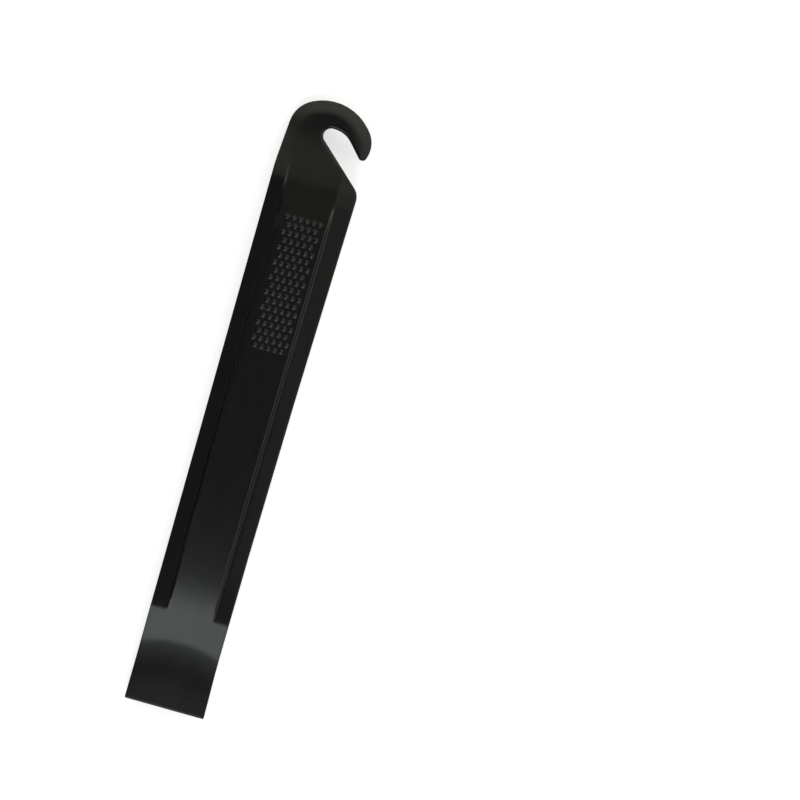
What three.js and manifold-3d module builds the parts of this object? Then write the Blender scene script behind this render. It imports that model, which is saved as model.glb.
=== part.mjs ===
// Tyre lever: a nylon moulding over a flat steel core.
// Millimetres, +Z up. The lever lies on its flat underside along X, blade at -X and hook at +X.
// The origin is under the middle of its bounding box, on the surface it lies on.
import * as THREE from 'three';
import { mergeVertices } from 'three/addons/utils/BufferGeometryUtils.js';
import Module from 'manifold-3d';

// Overall size
const LENGTH = 115;
const BLADE_END = -LENGTH / 2;
const HOOK_END = LENGTH / 2;
const WIDE = 20; // more than any width, for tools that cut right across

// Heights above the surface it lies on
const STRIP_TOP = 7.0; // top of the raised centre strip
const LEDGE_TOP = 5.1; // lower ledges beside the strip
const LEDGE_HEAD_TOP = 6.15; // the ledges rise to meet the head
const HOOK_TOP = 4.4;
const TIP_TOP = 3.25;
const TIP_UNDER = 2.0; // how far the tip's underside lifts off the surface

// Stations along the lever
const UNDER_LIFT_X = -30;
const LEDGE_RISE_X = -10;
const LEDGE_END_X = 39.6;

// Side view of the top from the hook to the blade: station along the lever, height
const TOP_LINE = [
  [HOOK_END, HOOK_TOP],
  [51.6, HOOK_TOP],
  [50.0, 4.55],
  [42.0, 6.05],
  [38.0, 6.4],
  [34.0, 6.85],
  [31.0, STRIP_TOP],
  [-12.0, STRIP_TOP],
  [-19.0, 6.92],
  [-24.0, 6.76],
  [-28.0, 6.54],
  [-32.6, 6.2],
  [-37.0, 5.64],
  [-39.6, 5.15],
  [-45.9, 3.84],
  [-47.4, 3.62],
  [-51.0, 3.42],
  [BLADE_END, TIP_TOP],
];

// Plan outline, corner by corner: x, y, corner radius. The notch opens to -Y.
const BLADE_CORNER_R = 0.18;
const NOTCH_ROOT_R = 1.42;
const OUTLINE = [
  [BLADE_END, 8.14, BLADE_CORNER_R],
  [-49.3, 8.07, 72],
  [44.2, 8.07, 22],
  [55.08, 7.3, 5.5],
  [59.62, -1.79, 9.16],
  [51.84, -8.92, 4.9],
  [48.5, -7.63, 0.7],
  [48.46, -6.67, 0.36],
  [52.66, -2.84, 4.6],
  [52.71, 3.2, NOTCH_ROOT_R],
  [42.35, -8.15, 3.0],
  [-11.8, -6.93, 2000],
  [-47.3, -6.67, 110],
  [BLADE_END, -6.9, BLADE_CORNER_R],
];

// Raised strip, plan of its top edge, and the draft of its side walls
const WALL_DRAFT = 0.45;
const STRIP = [
  [BLADE_END - 3, 4.3, 0],
  [-40, 4.58, 40],
  [-28, 4.75, 60],
  [6, 4.98, 80],
  [37, 4.85, 60],
  [44, 5.0, 0],
  [44, -4.3, 0],
  [38, -4.3, 60],
  [8, -3.93, 300],
  [-28, -3.42, 90],
  [-40, -3.36, 60],
  [BLADE_END - 3, -3.1, 0],
];

// Sloped rim round the outside of the hook
const RIM_WIDTH = 2.35;
const RIM_DROP = 1.0;
const RIM_START = 44.0;
const RIM_BACK = 8; // how far the rim's outline runs back into the head
const HOOK_LOW_Y = -9.6; // just past the hook's end

// Grip pips, in staggered rows across the strip
const PIP_ROWS = 18;
const PIP_PITCH = 1.24;
const PIP_ROW_STEP = 1.415;
const PIP_FIRST_ROW_X = 34.94;
const PIP_CENTRE_Y = 0.05;
const PIP_FOOT_R = 0.43;
const PIP_HEAD_R = 0.12;
const PIP_HEIGHT = 0.18;
const PIP_SIDES = 6;
const PIPS_IN_LONG_ROW = 6;
const PIPS_IN_SHORT_ROW = 5;

// Steel core, keyed into the nylon through its holes and seen in the windows underneath
const CORE_START = -43.5;
const CORE_END = 44.0;
const CORE_WIDTH = 5.6;
const CORE_CENTRE_Y = 0.4;
const CORE_UNDER = 1.75;
const CORE_THICK = 2.0;
const CORE_CORNER_R = 1.2;
const CORE_GAP = 0.05;
const KEY_HOLES_X = [-30, 0.5, 31];
const KEY_HOLE_R = 1.5;
const WINDOWS_X = [-38, -15, 16, 39];
const WINDOW_R = 1.2;
const BORE_SIDES = 20;

const ARC_STEP = 0.13; // radians of arc to one straight side
const SHORTEST_SIDE = 0.12;
const WELD = 1e-5;
const SINK = 0.2; // how far joined solids reach into each other
const CLEAR = 1; // how far cutting solids reach past what they cut

// ---- Plan shapes -------------------------------------------------------------

function roundedCorner([x, y, radius], [fromX, fromY], [toX, toY]) {
  const corner = new THREE.Vector2(x, y);
  const back = new THREE.Vector2(fromX, fromY).sub(corner).normalize();
  const ahead = new THREE.Vector2(toX, toY).sub(corner).normalize();
  const halfAngle = Math.acos(THREE.MathUtils.clamp(back.dot(ahead), -1, 1)) / 2;
  const reach = radius / Math.tan(halfAngle);
  const inward = back.clone().add(ahead).normalize();
  const centre = corner.clone().addScaledVector(inward, radius / Math.sin(halfAngle));
  const start = corner.clone().addScaledVector(back, reach).sub(centre);
  const turn = back.cross(ahead) < 0 ? Math.PI - 2 * halfAngle : 2 * halfAngle - Math.PI;
  const fine = Math.ceil(Math.abs(turn) / ARC_STEP);
  const most = Math.floor((Math.abs(turn) * radius) / SHORTEST_SIDE);
  const steps = Math.max(1, Math.min(fine, most));
  const points = [];
  for (let i = 0; i <= steps; i += 1) {
    const spoke = start.clone().rotateAround(new THREE.Vector2(), (turn * i) / steps);
    points.push(spoke.add(centre));
  }
  return points;
}

function roundedShape(corners) {
  const points = corners.flatMap((corner, i) => {
    if (corner[2] === 0) return [new THREE.Vector2(corner[0], corner[1])];
    const before = corners.at(i - 1);
    const after = corners[(i + 1) % corners.length];
    return roundedCorner(corner, before, after);
  });
  const spaced = points.filter((point, i) => point.distanceTo(points.at(i - 1)) > SHORTEST_SIDE);
  return new THREE.Shape(spaced);
}

// ---- Solids ------------------------------------------------------------------

const wasm = await Module();
wasm.setup();

function solid(geometry) {
  geometry.deleteAttribute('normal');
  geometry.deleteAttribute('uv');
  const merged = mergeVertices(geometry, WELD);
  const mesh = new wasm.Mesh({
    numProp: 3,
    vertProperties: new Float32Array(merged.attributes.position.array),
    triVerts: new Uint32Array(merged.index.array),
  });
  return new wasm.Manifold(mesh);
}

function toGeometry(manifold) {
  const mesh = manifold.getMesh();
  const geometry = new THREE.BufferGeometry();
  geometry.setAttribute('position', new THREE.BufferAttribute(mesh.vertProperties, 3));
  geometry.setIndex(new THREE.BufferAttribute(mesh.triVerts, 1));
  geometry.computeVertexNormals();
  return geometry;
}

function slab(shape, low, high) {
  const geometry = new THREE.ExtrudeGeometry(shape, { depth: high - low, bevelEnabled: false });
  geometry.translate(0, 0, low);
  return solid(geometry);
}

// A slab whose top edge is cut back by a straight slope, `run` wide and `drop` deep.
function slopedSlab(shape, low, high, run, drop, topIsShape) {
  const geometry = new THREE.ExtrudeGeometry(shape, {
    depth: high - low - drop,
    bevelThickness: drop,
    bevelSize: run,
    bevelOffset: topIsShape ? 0 : -run,
    bevelSegments: 1,
  });
  geometry.translate(0, 0, low);
  const below = new THREE.BoxGeometry(4 * LENGTH, 4 * WIDE, 2 * WIDE);
  below.translate(0, 0, low - WIDE);
  return solid(geometry).subtract(solid(below));
}

// An upright cylinder, for the holes through the core and the windows underneath.
function drill(x, y, radius, low, high) {
  const geometry = new THREE.CylinderGeometry(radius, radius, high - low, BORE_SIDES);
  geometry.rotateX(Math.PI / 2);
  geometry.translate(x, y, (low + high) / 2);
  return solid(geometry);
}

// A side view drawn in X and Z, run right across the lever.
function acrossLever(profile) {
  const geometry = new THREE.ExtrudeGeometry(profile, { depth: 2 * WIDE, bevelEnabled: false });
  geometry.rotateX(Math.PI / 2);
  geometry.translate(0, WIDE, 0);
  return solid(geometry);
}

// Everything under the side view of the lever: the scooped blade, the falling head and the lifted tip.
function sideProfile() {
  const profile = new THREE.Shape();
  profile.moveTo(HOOK_END + CLEAR, 0);
  profile.lineTo(HOOK_END + CLEAR, HOOK_TOP);
  for (const [x, height] of TOP_LINE) {
    profile.lineTo(x, height);
  }
  profile.lineTo(BLADE_END - CLEAR, TIP_TOP);
  profile.lineTo(BLADE_END - CLEAR, TIP_UNDER);
  profile.lineTo(BLADE_END, TIP_UNDER);
  profile.quadraticCurveTo((BLADE_END + UNDER_LIFT_X) / 2, 0, UNDER_LIFT_X, 0);
  return acrossLever(profile);
}

// Everything under the ledges, which rise slowly to the head.
function ledgeProfile() {
  const profile = new THREE.Shape();
  profile.moveTo(BLADE_END - CLEAR, 0);
  profile.lineTo(HOOK_END + CLEAR, 0);
  profile.lineTo(HOOK_END + CLEAR, LEDGE_HEAD_TOP);
  profile.lineTo(LEDGE_END_X, LEDGE_HEAD_TOP);
  profile.lineTo(LEDGE_RISE_X, LEDGE_TOP);
  profile.lineTo(BLADE_END - CLEAR, LEDGE_TOP);
  return acrossLever(profile);
}

function rectangle(lowX, highX) {
  const shape = new THREE.Shape();
  shape.moveTo(lowX, -WIDE);
  shape.lineTo(highX, -WIDE);
  shape.lineTo(highX, WIDE);
  shape.lineTo(lowX, WIDE);
  return shape;
}

// The hook's outer outline with the notch filled in, its rim sloping away outward.
function hookDisc() {
  const outer = OUTLINE.slice(2, 6);
  const backX = RIM_START - RIM_BACK;
  const corners = [[backX, outer[0][1], 0], ...outer, [backX, HOOK_LOW_Y, 0]];
  const drop = RIM_DROP + STRIP_TOP - HOOK_TOP;
  const disc = slopedSlab(roundedShape(corners), 0, STRIP_TOP, RIM_WIDTH, drop, false);
  return disc.intersect(slab(rectangle(RIM_START, HOOK_END + CLEAR), 0, STRIP_TOP));
}

// Height of the lever's top under a row of pips.
function pipFloor(row) {
  const x = PIP_FIRST_ROW_X - row * PIP_ROW_STEP;
  const next = TOP_LINE.findIndex(([station]) => station < x);
  const [aheadX, aheadTop] = TOP_LINE[next - 1];
  const [backX, backTop] = TOP_LINE[next];
  return THREE.MathUtils.mapLinear(x, backX, aheadX, backTop, aheadTop);
}

function gripPips() {
  const pips = [];
  for (let row = 0; row < PIP_ROWS; row += 1) {
    const count = row % 2 === 0 ? PIPS_IN_LONG_ROW : PIPS_IN_SHORT_ROW;
    for (let i = 0; i < count; i += 1) {
      const pip = new THREE.CylinderGeometry(PIP_HEAD_R, PIP_FOOT_R, PIP_HEIGHT + SINK, PIP_SIDES);
      pip.rotateX(Math.PI / 2);
      const y = PIP_CENTRE_Y + (i - (count - 1) / 2) * PIP_PITCH;
      pip.translate(PIP_FIRST_ROW_X - row * PIP_ROW_STEP, y, pipFloor(row) + (PIP_HEIGHT - SINK) / 2);
      pips.push(solid(pip));
    }
  }
  return pips;
}

function coreSlab(gap) {
  const half = CORE_WIDTH / 2 + gap;
  const radius = CORE_CORNER_R + gap;
  const shape = roundedShape([
    [CORE_START - gap, CORE_CENTRE_Y - half, radius],
    [CORE_START - gap, CORE_CENTRE_Y + half, radius],
    [CORE_END + gap, CORE_CENTRE_Y + half, radius],
    [CORE_END + gap, CORE_CENTRE_Y - half, radius],
  ]);
  let core = slab(shape, CORE_UNDER - gap, CORE_UNDER + CORE_THICK + gap);
  for (const x of KEY_HOLES_X) {
    core = core.subtract(drill(x, CORE_CENTRE_Y, KEY_HOLE_R - gap, 0, STRIP_TOP));
  }
  return core;
}

// ---- Parts -------------------------------------------------------------------

function nylonBody() {
  const whole = slab(roundedShape(OUTLINE), 0, STRIP_TOP);
  const ledges = whole.intersect(ledgeProfile());
  const drop = STRIP_TOP - LEDGE_TOP;
  const strip = slopedSlab(roundedShape(STRIP), LEDGE_TOP - SINK, STRIP_TOP, WALL_DRAFT, drop, true);
  const shank = slab(rectangle(BLADE_END - CLEAR, RIM_START + SINK), 0, STRIP_TOP);
  let body = ledges.add(strip).intersect(shank.add(hookDisc()));
  body = body.intersect(whole).intersect(sideProfile());
  for (const pip of gripPips()) {
    body = body.add(pip);
  }
  body = body.subtract(coreSlab(CORE_GAP));
  for (const x of WINDOWS_X) {
    body = body.subtract(drill(x, CORE_CENTRE_Y, WINDOW_R, -CLEAR, CORE_UNDER));
  }
  return toGeometry(body);
}

function steelCore() {
  return toGeometry(coreSlab(0));
}

// ---- Assembly ----------------------------------------------------------------

const group = new THREE.Group();

const nylon = new THREE.MeshStandardMaterial({ color: 0x1b1c1b, roughness: 0.5, metalness: 0 });
const body = new THREE.Mesh(nylonBody(), nylon);
body.name = 'nylon_body';
group.add(body);

const steel = new THREE.MeshStandardMaterial({ color: 0x9a9c9e, roughness: 0.35, metalness: 1 });
const core = new THREE.Mesh(steelCore(), steel);
core.name = 'steel_core';
group.add(core);

export default group;
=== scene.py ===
"""A nylon tyre lever over a steel core, lying face up on a pale floor.

The nylon is meshed here from its plan outline and height formulas. Lengths are in millimetres until mm().
"""
import math

import bpy
import numpy as np
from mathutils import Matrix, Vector
from mathutils.geometry import delaunay_2d_cdt


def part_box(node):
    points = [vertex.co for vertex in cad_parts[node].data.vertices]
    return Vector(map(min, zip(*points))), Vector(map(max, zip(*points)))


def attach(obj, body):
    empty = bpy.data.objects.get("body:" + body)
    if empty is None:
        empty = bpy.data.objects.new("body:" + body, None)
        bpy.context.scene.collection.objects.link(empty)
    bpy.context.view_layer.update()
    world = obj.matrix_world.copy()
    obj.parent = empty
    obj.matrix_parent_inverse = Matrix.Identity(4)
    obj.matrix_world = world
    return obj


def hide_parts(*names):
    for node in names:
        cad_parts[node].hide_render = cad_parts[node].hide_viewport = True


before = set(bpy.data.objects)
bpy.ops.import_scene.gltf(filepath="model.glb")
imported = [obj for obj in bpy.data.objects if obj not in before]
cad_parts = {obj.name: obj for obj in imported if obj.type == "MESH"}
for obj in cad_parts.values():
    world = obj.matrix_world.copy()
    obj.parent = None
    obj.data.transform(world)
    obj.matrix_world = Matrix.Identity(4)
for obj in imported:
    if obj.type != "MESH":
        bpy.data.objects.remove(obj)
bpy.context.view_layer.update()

body_low, body_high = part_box("nylon_body")
core_low, core_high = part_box("steel_core")
MM = 0.001

# ---- Sizes, from the frame -----------------------------------------------------

BLADE_END = body_low.x / MM
HOOK_END = body_high.x / MM
STRIP_TOP = 7.0
PIP_HEIGHT = body_high.z / MM - STRIP_TOP
LEDGE_TOP = STRIP_TOP - 1.9

# Plan outline corners: x, y, corner radius, blade at -X, notch opening to -Y
OUTLINE = (
    (BLADE_END, 8.12, 0.3),
    (-49.3, 8.07, 72),
    (44.2, 8.07, 22),
    (55.08, 7.3, 5.5),
    (59.62, -1.79, 9.16),
    (51.84, -8.92, 4.9),
    (48.5, -7.63, 0.7),
    (48.46, -6.67, 0.4),
    (52.66, -2.84, 4.6),
    (52.71, 3.2, 1.42),
    (42.35, -8.15, 3.0),
    (-11.8, -6.93, 2000),
    (-47.3, -6.67, 110),
    (BLADE_END, -6.88, 0.3),
)
RIM_CORNERS = ((30, 8.07, 0),) + OUTLINE[2:6] + ((46.5, -8.1, 0.6), (41.0, -8.2, 0.6), (30, -20, 0))

# Plan of the top edge of the raised strip
STRIP = (
    (-62, 4.3, 0),
    (-40, 4.58, 40),
    (-28, 4.75, 60),
    (6, 4.98, 80),
    (37, 4.85, 60),
    (50, 5.6, 0),
    (50, -4.3, 0),
    (38, -4.3, 60),
    (8, -3.93, 300),
    (-28, -3.42, 90),
    (-40, -3.36, 60),
    (-62, -3.1, 0),
)
WALL_RUN = 0.42
LEFT_WALL_RUN = 0.28  # steeper on the left beside the grip
WALL_FILLET = 0.15  # share of the wall
LEFT_BEVEL = 0.2
LEFT_BEVEL_WIDTH = 0.5
# Mesh lines along the wall: distance inside the strip's top edge
WALL_LINES = (-0.64, -0.5, -0.42, -0.34, -0.26, -0.04, 0.03, 0.12, 0.48, 0.56)

INSIDE_CAD = 0.012  # how far the outline is kept inside the CAD solid
EDGE_ROUND = 0.12
NOTCH_ROUND = 0.45  # larger round the notch
NOTCH_MIDDLE = (51.0, -1.5)
NOTCH_ROUND_REACH = (4.5, 6.0)
UNDER_ROUND = 0.4
EDGE_STEPS = 4

# Spacing of the mesh
OUTLINE_SIDE = 0.35
SHORTEST_SIDE = 0.06
ARC_TURN = 0.16
GRID = 0.42
UNDER_GRID = 1.2
POCKET_SIDE = 1.5
FROM_TOP_EDGE = 0.2
FROM_UNDER_EDGE = 0.3
FROM_LINE = 0.3
FROM_PIP = 0.22
FROM_COLLAR = 0.6
LINE_FROM_EDGE = 0.15
BLOCK = 2000  # points handled at a time

PIP_ROWS = 18
PIPS_IN_LONG_ROW = 6
PIP_PITCH = 1.24
PIP_ROW_STEP = 1.415
PIP_FIRST_ROW_X = 34.94
PIP_CENTRE_Y = 0.05
PIP_FOOT_R = 0.43
PIP_CROWN = 0.2  # roundness of the head, as a share of the foot's radius
PIP_RING_SIDES = 10
PIP_RINGS = (0.07, 0.15, 0.29, 0.43)

# The steel core's pocket, keyed by three pegs of nylon through the core
CORE_GAP = 0.05
CORE_START = core_low.x / MM
CORE_STOP = core_high.x / MM
CORE_UNDER = core_low.z / MM
CORE_TOP = core_high.z / MM
CORE_CENTRE_Y = (core_low.y + core_high.y) / 2 / MM
CORE_HALF_WIDTH = (core_high.y - core_low.y) / 2 / MM
CORE_CORNER_R = 1.2
KEY_HOLES_X = (-30, 0.5, 31)
KEY_PEG_R = 1.45
KEY_PEG_SIDES = 24
WINDOWS_X = (-38, -15, 16, 39)
WINDOW_R = 1.2
WINDOW_ROUND = 0.12
WINDOW_COLLAR_R = 1.45
WINDOW_SIDES = 32


# ---- Plan outlines -------------------------------------------------------------

def rounded_outline(corners, side=OUTLINE_SIDE):
    """Points round a closed outline whose corners are arcs, with long sides divided."""
    points = []
    count = len(corners)
    for i, (x, y, radius) in enumerate(corners):
        corner = np.array((x, y), float)
        if radius == 0:
            points.append(corner)
            continue
        back = np.array(corners[i - 1][:2]) - corner
        ahead = np.array(corners[(i + 1) % count][:2]) - corner
        back /= np.linalg.norm(back)
        ahead /= np.linalg.norm(ahead)
        half = math.acos(np.clip(back @ ahead, -1, 1)) / 2
        inward = (back + ahead) / np.linalg.norm(back + ahead)
        centre = corner + inward * radius / math.sin(half)
        spoke = corner + back * radius / math.tan(half) - centre
        sign = 1 if back[0] * ahead[1] - back[1] * ahead[0] < 0 else -1
        turn = sign * (math.pi - 2 * half)
        steps = max(1, math.ceil(abs(turn) / ARC_TURN))
        for step in range(steps + 1):
            angle = turn * step / steps
            c, s = math.cos(angle), math.sin(angle)
            points.append(centre + (c * spoke[0] - s * spoke[1], s * spoke[0] + c * spoke[1]))
    divided = []
    for start, end in zip(points, points[1:] + points[:1]):
        pieces = max(1, round(np.linalg.norm(end - start) / side))
        for j in range(pieces):
            point = start + (end - start) * j / pieces
            if not divided or np.linalg.norm(point - divided[-1]) > SHORTEST_SIDE:
                divided.append(point)
    return np.array(divided)


def circle(x, y, radius, sides):
    angles = np.arange(sides) * 2 * math.pi / sides
    return np.stack([x + radius * np.cos(angles), y + radius * np.sin(angles)], 1)


def inset(loop, distance):
    """The loop moved inward by a distance, point by point."""
    before = loop - np.roll(loop, 1, 0)
    after = np.roll(loop, -1, 0) - loop
    before /= np.linalg.norm(before, axis=1)[:, None]
    after /= np.linalg.norm(after, axis=1)[:, None]
    along = before + after
    along /= np.linalg.norm(along, axis=1)[:, None]
    normal = np.stack([along[:, 1], -along[:, 0]], 1)
    if area(loop) > 0:
        normal = -normal
    stretch = np.clip((before * along).sum(1), 0.5, 1)
    return loop + normal * (distance / stretch)[:, None]


def area(loop):
    x, y = loop[:, 0], loop[:, 1]
    return 0.5 * float(np.sum(x * np.roll(y, -1) - y * np.roll(x, -1)))


def inside_depth(points, loop):
    """Distance from each point to the loop, positive inside it."""
    start = loop
    step = np.roll(loop, -1, 0) - loop
    length2 = (step ** 2).sum(1)
    depth = np.empty(len(points))
    for low in range(0, len(points), BLOCK):
        block = points[low:low + BLOCK]
        offset = block[:, None, :] - start[None]
        along = np.clip((offset * step).sum(2) / length2, 0, 1)
        gap = offset - along[..., None] * step
        distance = np.sqrt((gap ** 2).sum(2)).min(1)
        y0, y1 = start[None, :, 1], np.roll(start, -1, 0)[None, :, 1]
        x0, x1 = start[None, :, 0], np.roll(start, -1, 0)[None, :, 0]
        px, py = block[:, None, 0], block[:, None, 1]
        spans = (y0 > py) != (y1 > py)
        rise = np.where(y1 == y0, 1, y1 - y0)
        hits = spans & (px < x0 + (py - y0) * (x1 - x0) / rise)
        inside = hits.sum(1) % 2 == 1
        depth[low:low + BLOCK] = np.where(inside, distance, -distance)
    return depth


outline = rounded_outline(OUTLINE)
strip_outline = rounded_outline(STRIP)
rim_outline = rounded_outline(RIM_CORNERS)


# ---- Heights -------------------------------------------------------------------

def smooth(x, low, high):
    t = np.clip((x - low) / (high - low), 0, 1)
    return t * t * (3 - 2 * t)


def soft_min(a, b, width):
    blend = np.clip(0.5 + 0.5 * (b - a) / width, 0, 1)
    return b + (a - b) * blend - width * blend * (1 - blend)


def heights_from(slopes, start, stop, steps):
    """Stations from start to stop, and the height climbed to each, given (station, slope) pairs."""
    stations, slopes = np.array(slopes).T
    fine = np.linspace(start, stop, steps)
    slope = np.interp(fine, stations, slopes)
    climb = np.concatenate([[0], np.cumsum((slope[1:] + slope[:-1]) / 2 * np.diff(fine))])
    return fine, climb


# Side view of the blade along the middle: station x, slope of the surface there
SCOOP_SLOPES = (
    (BLADE_END, 0.055),
    (-55.0, 0.045),
    (-52.2, 0.015),
    (-51.0, 0.025),
    (-49.5, 0.06),
    (-47.5, 0.095),
    (-46.8, 0.12),
    (-45.9, 0.22),
    (-39.6, 0.22),
    (-37.0, 0.165),
    (-34.6, 0.12),
    (-32.6, 0.09),
    (-28.2, 0.062),
    (-23.8, 0.045),
    (-19.0, 0.02),
    (-13.0, 0.004),
    (-10.0, 0.0),
)
SCOOP_BULGE = 1.3  # how far the scoop's lines bow towards the strip in the middle
BULGE_MIDDLE_Y = 0.6
BULGE_HALF_WIDTH = 7.4
STEEPEST = 0.22
BEND_X = -42.0
SCOOP_BLEND = 0.05


def scoop_height(x, y):
    fine, climb = heights_from(SCOOP_SLOPES, BLADE_END - 3, SCOOP_SLOPES[-1][0], 900)
    across = (y - BULGE_MIDDLE_Y) / BULGE_HALF_WIDTH
    bulge = np.where(x < BEND_X, SCOOP_BULGE * (1 - across ** 2), 0)
    return np.interp(x - bulge, fine, climb + (STRIP_TOP - climb[-1])) + STEEPEST * bulge


# The same for the head, from the strip down to the hook
HEAD_SLOPES = (
    (30.5, 0.0),
    (34.0, -0.1),
    (38.0, -0.13),
    (41.2, -0.11),
    (42.4, -0.19),
    (47.0, -0.22),
    (49.0, -0.19),
    (51.4, -0.11),
    (54.0, -0.07),
    (58.0, -0.06),
)


def head_height(x):
    fine, climb = heights_from(HEAD_SLOPES, HEAD_SLOPES[0][0], HOOK_END + 1, 500)
    return STRIP_TOP + np.interp(x, fine, climb)


# The ledges rise to the head, and their outer parts fall away outward
LEDGE_RISE = 1.09
LEDGE_RISE_X = -10.0
CREASE_X = 39.6
LEDGE_BLEND = 0.06
LEDGE_FALL = 0.2
LEDGE_FALL_MIDDLE_Y = 0.5
LEDGE_FALL_FROM = 5.0
LEDGE_FALL_WIDTH = 5.0
LEDGE_FALL_STARTS = (-40.5, -28.0)
LEDGE_FALL_FADES = (41.0, 49.0)
RIGHT_LEDGE_FALL_LONGER = 2.0

# Past the crease the left ledge stays a little higher than the head
LEDGE_LIP = 0.25
LEDGE_LIP_FADES = (41.5, 47.0)

# Round the outside of the hook a band rolls down outward, and the hook's tip drops
RIM_WIDTH = 2.1
RIM_SOFTNESS = 0.6
RIM_SLOPE = 0.43
RIM_STARTS = (40.0, 57.0)
RIM_LINES = tuple(RIM_WIDTH + t * RIM_SOFTNESS for t in (-1, -0.5, 0, 0.5, 1))
NOTCH_MOUTH_X = 47.0
HOOK_TIP_DROP = 0.35
HOOK_TIP_DROPS = (1.5, 8.5)

# The steeper left wall beside the grip
GRIP_START_FADE = (-10, 6)
GRIP_END_FADE = (35, 39)


def left_of_grip(points):
    """1 along the left edge of the strip beside the grip, fading to 0 before and after."""
    x, y = points.T
    return (y > 0) * smooth(x, *GRIP_START_FADE) * (1 - smooth(x, *GRIP_END_FADE))


def wall_share(points, depth):
    """0 on the ledges, 1 on the strip, with a drafted wall and small fillets between."""
    run = WALL_RUN - (WALL_RUN - LEFT_WALL_RUN) * left_of_grip(points)
    share = np.clip(depth / run + 1, -1, 2)
    low = soft_min(share, np.ones_like(share), WALL_FILLET)
    return -soft_min(-low, np.zeros_like(low), WALL_FILLET)


def pip_centres():
    centres = []
    for row in range(PIP_ROWS):
        count = PIPS_IN_LONG_ROW - row % 2
        for i in range(count):
            y = PIP_CENTRE_Y + (i - (count - 1) / 2) * PIP_PITCH
            centres.append((PIP_FIRST_ROW_X - row * PIP_ROW_STEP, y))
    return np.array(centres)


pips = pip_centres()


def pip_height(points):
    """Height of the pips alone: round-headed cones."""
    height = np.zeros(len(points))
    near = (points[:, 0] > pips[:, 0].min() - 1) & (points[:, 0] < pips[:, 0].max() + 1)
    offset = points[near][:, None, :] - pips[None]
    distance = np.sqrt((offset ** 2).sum(2)).min(1)
    cone = np.sqrt((distance / PIP_FOOT_R) ** 2 + PIP_CROWN ** 2)
    edge = math.sqrt(1 + PIP_CROWN ** 2)
    height[near] = PIP_HEIGHT * np.clip(edge - cone, 0, 1) / (edge - PIP_CROWN)
    return height


def ledge_height(x, y, centre):
    ledge = LEDGE_TOP + LEDGE_RISE * smooth(x, LEDGE_RISE_X, CREASE_X)
    lip = LEDGE_LIP * (1 - smooth(x, *LEDGE_LIP_FADES)) * (y > 0)
    ledge = soft_min(ledge, centre + lip, LEDGE_BLEND)
    fade_start, fade_end = LEDGE_FALL_FADES
    fade = 1 - smooth(x, fade_start + RIGHT_LEDGE_FALL_LONGER * (y < 0), fade_end)
    beyond = np.clip(np.abs(y - LEDGE_FALL_MIDDLE_Y) - LEDGE_FALL_FROM, 0, LEDGE_FALL_WIDTH)
    return ledge - LEDGE_FALL * beyond * (smooth(x, *LEDGE_FALL_STARTS) * fade)


def rim_drop(points):
    x, y = points.T
    past_edge = RIM_WIDTH - inside_depth(points, rim_outline)
    rolled = np.clip(past_edge + RIM_SOFTNESS, 0, None) ** 2 / (4 * RIM_SOFTNESS)
    rolled = np.where(past_edge > RIM_SOFTNESS, past_edge, rolled)
    on_hook = (y > 0) | (x > NOTCH_MOUTH_X)
    tip_drop = HOOK_TIP_DROP * np.where(x > NOTCH_MOUTH_X, smooth(-y, *HOOK_TIP_DROPS), 0)
    return RIM_SLOPE * smooth(x, *RIM_STARTS) * rolled * on_hook + tip_drop


def top_height(points):
    x, y = points.T
    centre = head_height(x)
    ledge = ledge_height(x, y, centre)
    depth = inside_depth(points, strip_outline)
    bevel = LEFT_BEVEL * left_of_grip(points) * np.clip(1 - depth / LEFT_BEVEL_WIDTH, 0, 1)
    height = ledge + (centre - bevel - ledge) * wall_share(points, depth)
    height = soft_min(height, scoop_height(x, y), SCOOP_BLEND)
    return height - rim_drop(points) + pip_height(points)


# The underside is flat and lifts in a curve under the blade
TIP_UNDER = 2.0
UNDER_LIFT_X = -30


def under_height(points):
    lift = np.clip((UNDER_LIFT_X - points[:, 0]) / (UNDER_LIFT_X - BLADE_END), 0, 1)
    return TIP_UNDER * lift ** 2


# ---- Mesh building -------------------------------------------------------------

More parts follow.
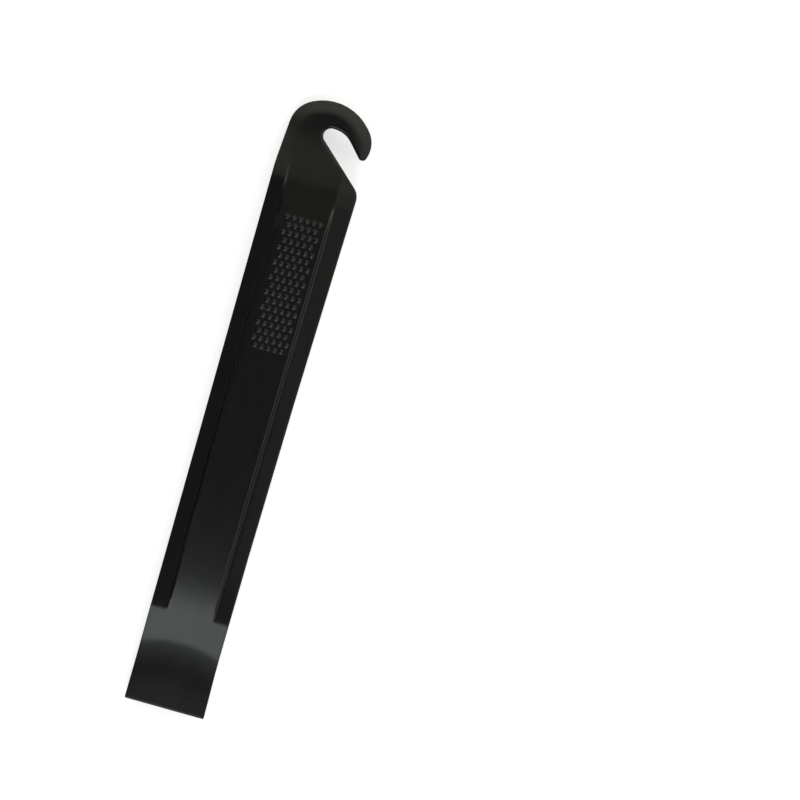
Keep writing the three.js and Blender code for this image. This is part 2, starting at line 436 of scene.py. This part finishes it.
class Shell:
    """Vertices and faces of one mesh, built up from rings and filled regions."""

    def __init__(self):
        self.points = []
        self.faces = []

    def add(self, plan, heights):
        first = len(self.points)
        heights = np.broadcast_to(heights, len(plan))
        self.points.extend((p[0], p[1], h) for p, h in zip(plan, heights))
        return list(range(first, len(self.points)))

    def bridge(self, lower, upper):
        """Quads between two rings of one length. A counter-clockwise pair faces outward."""
        for i in range(len(lower)):
            j = (i + 1) % len(lower)
            self.faces.append((lower[i], lower[j], upper[j], upper[i]))

    def fill(self, ring, holes, spots, edges, height, up):
        """Triangles inside a ring, clear of the holes, through the given spots and edges."""
        plan = []
        index = []
        borders = []
        for loop in [ring] + holes:
            borders.append(list(range(len(plan), len(plan) + len(loop))))
            plan.extend(self.points[i][:2] for i in loop)
            index.extend(loop)
        base = len(plan)
        plan.extend(tuple(p) for p in spots)
        all_edges = [(base + a, base + b) for a, b in edges]
        for border in borders:
            all_edges.extend(zip(border, border[1:] + border[:1]))
        flat = [Vector(p[:2]) for p in plan]
        out, _, triangles, origins, _, _ = delaunay_2d_cdt(flat, all_edges, [], 0, 1e-6)
        fresh = [i for i, origin in enumerate(origins) if not any(o < base for o in origin)]
        new_plan = np.array([out[i][:] for i in fresh]).reshape(-1, 2)
        new_ids = self.add(new_plan, height(new_plan)) if len(fresh) else []
        lookup = dict(zip(fresh, new_ids))
        where = []
        for i, origin in enumerate(origins):
            old = [o for o in origin if o < base]
            where.append(index[old[0]] if old else lookup[i])
        centres = np.array([np.mean([out[i][:] for i in t], axis=0) for t in triangles])
        keep = inside_depth(centres, np.array([self.points[i][:2] for i in ring])) > 0
        for hole in holes:
            keep &= inside_depth(centres, np.array([self.points[i][:2] for i in hole])) < 0
        for triangle, wanted in zip(triangles, keep):
            if wanted:
                corners = [where[i] for i in triangle]
                self.faces.append(tuple(corners if up else corners[::-1]))

    def object(self, name):
        mesh = bpy.data.meshes.new(name)
        mesh.from_pydata([(x * MM, y * MM, z * MM) for x, y, z in self.points], [], self.faces)
        mesh.validate()
        mesh.shade_smooth()
        piece = bpy.data.objects.new(name, mesh)
        bpy.context.scene.collection.objects.link(piece)
        return piece


def spots_in(loop, margin, spacing, avoid):
    """A staggered field of points inside the loop, clear of its edge and of the points to avoid."""
    low, high = loop.min(0), loop.max(0)
    spots = []
    row_step = spacing * 0.87  # near enough to even triangles
    for row, x in enumerate(np.arange(low[0], high[0], row_step)):
        shift = spacing / 2 if row % 2 else 0
        spots.extend((x, y) for y in np.arange(low[1] + shift, high[1], spacing))
    spots = np.array(spots)
    spots = spots[inside_depth(spots, loop) > margin]
    for other, clear in avoid:
        if len(other):
            keep = np.ones(len(spots), bool)
            for first in range(0, len(spots), BLOCK):
                block = spots[first:first + BLOCK]
                gap = np.sqrt(((block[:, None] - other[None]) ** 2).sum(2)).min(1)
                keep[first:first + BLOCK] = gap > clear
            spots = spots[keep]
    return spots


WALL_LINES_FROM_X = -41.5
WALL_LINES_TO_X = 44.0
RIM_LINES_FROM_X = 44.2


def feature_lines(loop):
    """Lines along the strip's walls and the hook's rim, so that the mesh follows them."""
    families = [(strip_outline, depth, WALL_LINES_FROM_X, WALL_LINES_TO_X) for depth in WALL_LINES]
    families += [(rim_outline, depth, RIM_LINES_FROM_X, HOOK_END) for depth in RIM_LINES]
    points = []
    edges = []
    for base, depth, low_x, high_x in families:
        line = inset(base, depth)
        keep = (inside_depth(line, loop) > LINE_FROM_EDGE) & (line[:, 0] > low_x) & (line[:, 0] < high_x)
        if base is rim_outline:
            keep &= (line[:, 1] > 0) | (line[:, 0] > NOTCH_MOUTH_X)
        ids = {}
        for i in np.flatnonzero(keep):
            ids[i] = len(points)
            points.append(line[i])
        for i in ids:
            j = (i + 1) % len(line)
            if j in ids:
                edges.append((ids[i], ids[j]))
    return np.array(points), edges


def build_nylon():
    shell = Shell()
    ccw = inset(outline if area(outline) > 0 else outline[::-1], INSIDE_CAD)
    rings = []
    for step in range(EDGE_STEPS + 1):
        angle = math.pi / 2 * step / EDGE_STEPS
        loop = inset(ccw, UNDER_ROUND * (1 - math.sin(angle)))
        rings.append(shell.add(loop, under_height(loop) + UNDER_ROUND * (1 - math.cos(angle))))
    from_notch = np.linalg.norm(ccw - NOTCH_MIDDLE, axis=1)
    top_round = NOTCH_ROUND + (EDGE_ROUND - NOTCH_ROUND) * smooth(from_notch, *NOTCH_ROUND_REACH)
    for step in range(EDGE_STEPS + 1):
        angle = math.pi / 2 * step / EDGE_STEPS
        loop = inset(ccw, top_round * (1 - math.cos(angle)))
        rings.append(shell.add(loop, top_height(loop) - top_round * (1 - math.sin(angle))))
    for lower, upper in zip(rings, rings[1:]):
        shell.bridge(lower, upper)

    top_loop = inset(ccw, top_round)
    lines, edges = feature_lines(top_loop)
    pip_spots = [pips] + [circle(x, y, r, PIP_RING_SIDES) for x, y in pips for r in PIP_RINGS]
    pip_spots = np.concatenate(pip_spots)
    field = spots_in(top_loop, FROM_TOP_EDGE, GRID, ((lines, FROM_LINE), (pip_spots, FROM_PIP)))
    spots = np.concatenate([lines, pip_spots, field])
    shell.fill(rings[-1], [], spots, edges, top_height, True)

    under_loop = inset(ccw, UNDER_ROUND)
    windows = [circle(x, CORE_CENTRE_Y, WINDOW_R, WINDOW_SIDES) for x in WINDOWS_X]
    mouths = []
    for window in windows:
        centre = window.mean(0)
        grown = centre + (window - centre) * (1 + WINDOW_ROUND / WINDOW_R)
        mouth = shell.add(grown, under_height(grown))
        lip = shell.add(window, under_height(window) + WINDOW_ROUND)
        shell.bridge(lip, mouth)
        mouths.append((mouth, lip))
    # a ring of points close round each window keeps the shading flat there
    middles = np.array([(x, CORE_CENTRE_Y) for x in WINDOWS_X])
    collars = np.concatenate([circle(x, y, WINDOW_COLLAR_R, WINDOW_SIDES) for x, y in middles])
    field = spots_in(under_loop, FROM_UNDER_EDGE, UNDER_GRID, ((collars, FROM_COLLAR),))
    field = field[np.linalg.norm(field[:, None] - middles[None], axis=2).min(1) > WINDOW_COLLAR_R]
    field = np.concatenate([collars, field])
    shell.fill(rings[0], [m for m, _ in mouths], field, [], under_height, False)
    build_cavity(shell, [lip for _, lip in mouths])
    return shell.object("nylon_moulding")


def build_cavity(shell, lips):
    low, high = CORE_UNDER - CORE_GAP, CORE_TOP + CORE_GAP
    half = CORE_HALF_WIDTH + CORE_GAP
    radius = CORE_CORNER_R + CORE_GAP
    corners = [
        (CORE_START - CORE_GAP, CORE_CENTRE_Y - half, radius),
        (CORE_STOP + CORE_GAP, CORE_CENTRE_Y - half, radius),
        (CORE_STOP + CORE_GAP, CORE_CENTRE_Y + half, radius),
        (CORE_START - CORE_GAP, CORE_CENTRE_Y + half, radius),
    ]
    pocket = rounded_outline(corners, POCKET_SIDE)
    floor = shell.add(pocket, low)
    roof = shell.add(pocket, high)
    shell.bridge(roof, floor)
    floor_holes = []
    roof_holes = []
    for x in KEY_HOLES_X:
        peg = circle(x, CORE_CENTRE_Y, KEY_PEG_R, KEY_PEG_SIDES)
        foot = shell.add(peg, low)
        head = shell.add(peg, high)
        shell.bridge(foot, head)
        floor_holes.append(foot)
        roof_holes.append(head)
    for lip in lips:
        plan = np.array([shell.points[i][:2] for i in lip])
        rim = shell.add(plan, low)
        shell.bridge(rim, lip)
        floor_holes.append(rim)
    nowhere = np.zeros((0, 2))
    shell.fill(floor, floor_holes, nowhere, [], lambda p: np.full(len(p), low), True)
    shell.fill(roof, roof_holes, nowhere, [], lambda p: np.full(len(p), high), False)


# ---- Materials -----------------------------------------------------------------

def new_material(name):
    material = bpy.data.materials.new(name)
    material.use_nodes = True
    nodes = material.node_tree.nodes
    links = material.node_tree.links
    return material, nodes, links, nodes["Principled BSDF"]


def noise(nodes, links, coords, scale, detail, stretch=(1, 1, 1)):
    mapping = nodes.new("ShaderNodeMapping")
    mapping.inputs["Scale"].default_value = stretch
    texture = nodes.new("ShaderNodeTexNoise")
    texture.inputs["Scale"].default_value = scale
    texture.inputs["Detail"].default_value = detail
    links.new(coords, mapping.inputs["Vector"])
    links.new(mapping.outputs["Vector"], texture.inputs["Vector"])
    return texture.outputs["Fac"]


def ramp(nodes, links, value, stops):
    node = nodes.new("ShaderNodeValToRGB")
    elements = node.color_ramp.elements
    while len(elements) < len(stops):
        elements.new(0.5)
    for element, (position, colour) in zip(elements, stops):
        element.position = position
        element.color = (*colour, 1)
    links.new(value, node.inputs["Fac"])
    return node.outputs["Color"]


def grey(value):
    return (value, value, value)


def warm(value):
    return (value, value, 0.93 * value)


def bump(nodes, links, height, strength, distance, previous=None):
    node = nodes.new("ShaderNodeBump")
    node.inputs["Strength"].default_value = strength
    node.inputs["Distance"].default_value = distance
    links.new(height, node.inputs["Height"])
    if previous is not None:
        links.new(previous, node.inputs["Normal"])
    return node.outputs["Normal"]


def nylon_material():
    material, nodes, links, shader = new_material("black_nylon")
    coords = nodes.new("ShaderNodeTexCoord").outputs["Object"]
    mottle = noise(nodes, links, coords, 260, 3)
    flow = noise(nodes, links, coords, 420, 2, (0.25, 1, 1))
    grain = noise(nodes, links, coords, 5200, 2)
    dimple = noise(nodes, links, coords, 900, 3)
    blacks = ((0.3, (0.0032, 0.0034, 0.0032)), (0.7, (0.0048, 0.005, 0.0046)))
    colour = ramp(nodes, links, mottle, blacks)
    rough = ramp(nodes, links, flow, ((0.3, grey(0.29)), (0.7, grey(0.315))))
    links.new(colour, shader.inputs["Base Color"])
    links.new(rough, shader.inputs["Roughness"])
    shader.inputs["Specular IOR Level"].default_value = 0.5
    shader.inputs["IOR"].default_value = 1.5
    first = bump(nodes, links, grain, 0.25, 0.00002)
    links.new(bump(nodes, links, dimple, 0.35, 0.00003, first), shader.inputs["Normal"])
    return material


def steel_material():
    material, nodes, links, shader = new_material("rolled_steel")
    coords = nodes.new("ShaderNodeTexCoord").outputs["Object"]
    lines = noise(nodes, links, coords, 3000, 4, (0.03, 1, 1))
    stain = noise(nodes, links, coords, 350, 4)
    colour = ramp(nodes, links, stain, ((0.3, (0.42, 0.41, 0.4)), (0.7, (0.56, 0.57, 0.58))))
    rough = ramp(nodes, links, lines, ((0.3, grey(0.26)), (0.7, grey(0.42))))
    links.new(colour, shader.inputs["Base Color"])
    links.new(rough, shader.inputs["Roughness"])
    shader.inputs["Metallic"].default_value = 1
    links.new(bump(nodes, links, lines, 0.3, 0.00002), shader.inputs["Normal"])
    return material


FLOOR_GLOW = 0.66


def floor_material():
    """Pale paper with a slight glow that lights nothing, because only camera rays see it."""
    material, nodes, links, shader = new_material("pale_paper")
    coords = nodes.new("ShaderNodeTexCoord").outputs["Object"]
    fibre = noise(nodes, links, coords, 900, 4)
    colour = ramp(nodes, links, fibre, ((0.3, grey(0.86)), (0.7, grey(0.89))))
    links.new(colour, shader.inputs["Base Color"])
    shader.inputs["Roughness"].default_value = 0.9
    shader.inputs["Specular IOR Level"].default_value = 0.1
    shader.inputs["Emission Color"].default_value = (1, 1, 1, 1)
    glow = nodes.new("ShaderNodeMath")
    glow.operation = "MULTIPLY"
    glow.inputs[1].default_value = FLOOR_GLOW
    links.new(nodes.new("ShaderNodeLightPath").outputs["Is Camera Ray"], glow.inputs[0])
    links.new(glow.outputs["Value"], shader.inputs["Emission Strength"])
    return material


# ---- The lever -----------------------------------------------------------------

nylon = build_nylon()
nylon.data.materials.append(nylon_material())
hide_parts("nylon_body")
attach(nylon, "root")

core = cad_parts["steel_core"]
core.data.materials.clear()
core.data.materials.append(steel_material())


# ---- Floor, light and camera ---------------------------------------------------

FLOOR_SIZE = 6.0
FLOOR_GAP = 0.00005


def build_floor():
    mesh = bpy.data.meshes.new("floor")
    half = FLOOR_SIZE / 2
    z = -FLOOR_GAP
    corners = [(-half, -half, z), (half, -half, z), (half, half, z), (-half, half, z)]
    mesh.from_pydata(corners, [], [(0, 1, 2, 3)])
    mesh.materials.append(floor_material())
    floor = bpy.data.objects.new("floor", mesh)
    bpy.context.scene.collection.objects.link(floor)


def area_light(name, azimuth, elevation, distance, width, power, colour=(1, 1, 1)):
    """A soft square light, placed by its direction from the lever: azimuth 0 is the hook's side."""
    data = bpy.data.lights.new(name, "AREA")
    data.shape = "SQUARE"
    data.size = width
    data.energy = power
    data.color = colour
    light = bpy.data.objects.new(name, data)
    a, e = math.radians(azimuth), math.radians(elevation)
    place = Vector((math.cos(a) * math.cos(e), math.sin(a) * math.cos(e), math.sin(e))) * distance
    light.location = place
    light.rotation_euler = (-place).to_track_quat("-Z", "Y").to_euler()
    bpy.context.scene.collection.objects.link(light)


build_floor()
area_light("blade_side", 180, 54, 1.3, 0.8, 5.6, (0.92, 1.0, 0.95))
area_light("right_side", -90, 32, 1.3, 0.5, 1.3)


# Brightness of the dome by the sine of the elevation, and by nearness to its brighter side
DOME_AZIMUTH = math.radians(-20)
DOME_BY_HEIGHT = (
    (0.0, warm(1)),
    (0.6, warm(1)),
    (0.8, warm(0.7)),
    (0.91, warm(0.52)),
    (0.97, warm(0.15)),
    (1.0, warm(0.075)),
)
DOME_BY_SIDE = ((0.42, grey(0.05)), (0.66, grey(0.75)), (0.95, grey(1)))


def studio_world():
    """A dome that is dark overhead and on the lever's left, and bright low down on the hook side."""
    world = bpy.data.worlds.new("studio")
    world.use_nodes = True
    nodes, links = world.node_tree.nodes, world.node_tree.links
    direction = nodes.new("ShaderNodeTexCoord").outputs["Generated"]
    split = nodes.new("ShaderNodeSeparateXYZ")
    links.new(direction, split.inputs["Vector"])
    height = ramp(nodes, links, split.outputs["Z"], DOME_BY_HEIGHT)
    along = nodes.new("ShaderNodeVectorMath")
    along.operation = "DOT_PRODUCT"
    along.inputs[1].default_value = (math.cos(DOME_AZIMUTH), math.sin(DOME_AZIMUTH), 0)
    links.new(direction, along.inputs[0])
    shifted = nodes.new("ShaderNodeMapRange")
    shifted.inputs["From Min"].default_value = -1
    links.new(along.outputs["Value"], shifted.inputs["Value"])
    side = ramp(nodes, links, shifted.outputs["Result"], DOME_BY_SIDE)
    background = nodes["Background"]
    links.new(height, background.inputs["Color"])
    links.new(side, background.inputs["Strength"])
    bpy.context.scene.world = world


studio_world()
bpy.context.scene.view_settings.view_transform = "Standard"

# The lever leans in the view: its blade is down to the left and its hook is up to the right.
CAMERA_HEIGHT = 3.0
OUTLINE_HEIGHT = 0.0035
LEAN = math.radians(15.69)
VIEW_WIDTH = 0.14592
VIEW_CENTRE_X = 8.32
VIEW_CENTRE_Y = -25.63


def place_camera():
    data = bpy.data.cameras.new("camera")
    data.lens_unit = "FOV"
    data.angle = 2 * math.atan(VIEW_WIDTH / 2 / (CAMERA_HEIGHT - OUTLINE_HEIGHT))
    data.clip_end = 20
    camera = bpy.data.objects.new("camera", data)
    camera.location = (VIEW_CENTRE_X * MM, VIEW_CENTRE_Y * MM, CAMERA_HEIGHT)
    camera.rotation_euler = (0, 0, -math.pi / 2 + LEAN)
    bpy.context.scene.collection.objects.link(camera)
    bpy.context.scene.camera = camera


place_camera()

bpy.context.view_layer.update()
